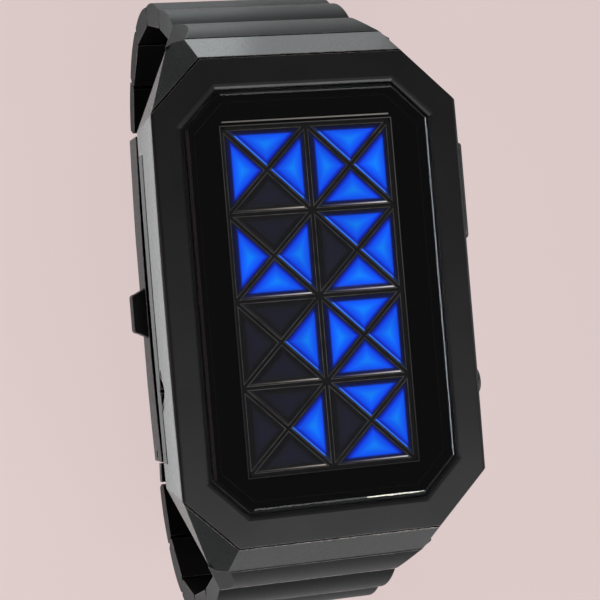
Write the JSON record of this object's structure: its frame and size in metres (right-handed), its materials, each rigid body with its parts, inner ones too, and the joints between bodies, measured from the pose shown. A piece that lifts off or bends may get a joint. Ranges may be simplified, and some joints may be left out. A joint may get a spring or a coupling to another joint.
{
  "type": "wristwatch",
  "caption": "Digital wristwatch with a cut-corner case, a grid of light-up triangles, side push-buttons and a linked metal bracelet with a folding push-button clasp.",
  "frame": {"origin": "middle of the flat on the underside of the closed clasp", "axes": "+Z out of the face, +Y towards 12 o'clock, +X towards 3 o'clock"},
  "size_m": [0.0333, 0.0708, 0.0497],
  "materials": {
    "black_metal": "satin",
    "bezel_black": "satin",
    "crystal": "gloss",
    "black_rubber": "matte",
    "black_plastic": "matte",
    "blue_lens": "gloss",
    "dark_lens": "gloss",
    "led_white": "matte",
    "green_board": "satin",
    "chip_black": "matte",
    "steel": "satin",
    "brass": "satin"
  },
  "bodies": {
    "case": {"case_middle": "black_metal", "bezel": "bezel_black", "crystal": "crystal", "crystal_gasket": "black_rubber", "display_mask": "black_plastic", "light_grid": "black_plastic", "lens_lit": "blue_lens", "lens_unlit": "dark_lens", "led_chips": "led_white", "display_board": "green_board", "main_board": "green_board", "board_parts": "chip_black", "battery": "steel", "battery_clip": "brass", "module_frame": "black_plastic", "back_gasket": "black_rubber", "case_back": "black_metal", "time_button_springs": "steel", "time_button_seals": "black_rubber", "set_button_spring": "steel", "set_button_seal": "black_rubber", "tact_switches": "black_plastic", "end_link_12": "black_metal", "end_link_6": "black_metal", "end_bars": "steel", "first_pins": "steel"},
    "time_button": {"time_button": "black_metal", "time_button_clips": "steel"},
    "set_button": {"set_button": "black_metal", "set_button_clip": "steel"},
    "link_a1": {"link_a1": "black_metal", "pin_a2": "steel"},
    "link_a2": {"link_a2": "black_metal", "pin_a3": "steel"},
    "link_a3": {"link_a3": "black_metal", "pin_a4": "steel"},
    "link_a4": {"link_a4": "black_metal", "pin_a5": "steel"},
    "link_a5": {"link_a5": "black_metal"},
    "link_b1": {"link_b1": "black_metal", "pin_b2": "steel"},
    "link_b2": {"link_b2": "black_metal", "pin_b3": "steel"},
    "link_b3": {"link_b3": "black_metal", "pin_b4": "steel"},
    "link_b4": {"link_b4": "black_metal", "pin_b5": "steel"},
    "link_b5": {"link_b5": "black_metal", "pin_b6": "steel"},
    "blade_inner": {"blade_inner": "steel", "fold_pin": "steel"},
    "blade_outer": {"blade_outer": "steel"},
    "clasp_cover": {"clasp_cover": "black_metal", "clasp_bar": "steel", "cover_pin": "steel", "catch_springs": "steel"},
    "catch_right": {"catch_right": "black_metal"},
    "catch_left": {"catch_left": "black_metal"}
  },
  "joints": [
    {"name": "link_a1_turn", "type": "hinge", "parent": "case", "child": "link_a1", "pos_m": [0, 0.0297, 0.0338], "axis": [1, 0, 0], "range_deg": [0, 12]},
    {"name": "link_a2_turn", "type": "hinge", "parent": "link_a1", "child": "link_a2", "pos_m": [0, 0.03263, 0.02689], "axis": [1, 0, 0], "range_deg": [0, 15]},
    {"name": "link_a3_turn", "type": "hinge", "parent": "link_a2", "child": "link_a3", "pos_m": [0, 0.03432, 0.01959], "axis": [1, 0, 0], "range_deg": [0, 27]},
    {"name": "link_a4_turn", "type": "hinge", "parent": "link_a3", "child": "link_a4", "pos_m": [0, 0.03314, 0.01218], "axis": [1, 0, 0], "range_deg": [0, 36]},
    {"name": "link_a5_turn", "type": "hinge", "parent": "link_a4", "child": "link_a5", "pos_m": [0, 0.02832, 0.00643], "axis": [1, 0, 0], "range_deg": [0, 34]},
    {"name": "link_b1_turn", "type": "hinge", "parent": "case", "child": "link_b1", "pos_m": [0, -0.0297, 0.0338], "axis": [-1, 0, 0], "range_deg": [0, 12]},
    {"name": "link_b2_turn", "type": "hinge", "parent": "link_b1", "child": "link_b2", "pos_m": [0, -0.03263, 0.02689], "axis": [-1, 0, 0], "range_deg": [0, 15]},
    {"name": "link_b3_turn", "type": "hinge", "parent": "link_b2", "child": "link_b3", "pos_m": [0, -0.03432, 0.01959], "axis": [-1, 0, 0], "range_deg": [0, 27]},
    {"name": "link_b4_turn", "type": "hinge", "parent": "link_b3", "child": "link_b4", "pos_m": [0, -0.03314, 0.01218], "axis": [-1, 0, 0], "range_deg": [0, 36]},
    {"name": "link_b5_turn", "type": "hinge", "parent": "link_b4", "child": "link_b5", "pos_m": [0, -0.02832, 0.00643], "axis": [-1, 0, 0], "range_deg": [0, 34]},
    {"name": "blade_inner_turn", "type": "hinge", "parent": "link_b5", "child": "blade_inner", "pos_m": [0, -0.02132, 0.00374], "axis": [-1, 0, 0], "range_deg": [0, 16]},
    {"name": "blade_outer_unfold", "type": "hinge", "parent": "blade_inner", "child": "blade_outer", "pos_m": [0, 0.01652, 0.00367], "axis": [1, 0, 0], "range_deg": [0, 120]},
    {"name": "clasp_cover_unfold", "type": "hinge", "parent": "blade_outer", "child": "clasp_cover", "pos_m": [0, -0.01762, 0.00297], "axis": [-1, 0, 0], "range_deg": [0, 50]},
    {"name": "time_button_press", "type": "slide", "parent": "case", "child": "time_button", "axis": [-1, 0, 0], "range_m": [0, 0.0006], "stiffness_N_per_m": 1500, "springref_m": -0.0004},
    {"name": "set_button_press", "type": "slide", "parent": "case", "child": "set_button", "axis": [-1, 0, 0], "range_m": [0, 0.0006], "stiffness_N_per_m": 1200, "springref_m": -0.0004},
    {"name": "catch_right_press", "type": "slide", "parent": "clasp_cover", "child": "catch_right", "axis": [-1, 0, 0], "range_m": [0, 0.0007], "stiffness_N_per_m": 1200, "springref_m": -0.0004},
    {"name": "catch_left_press", "type": "slide", "parent": "clasp_cover", "child": "catch_left", "axis": [1, 0, 0], "range_m": [0, 0.0007], "stiffness_N_per_m": 1200, "springref_m": -0.0004}
  ]
}
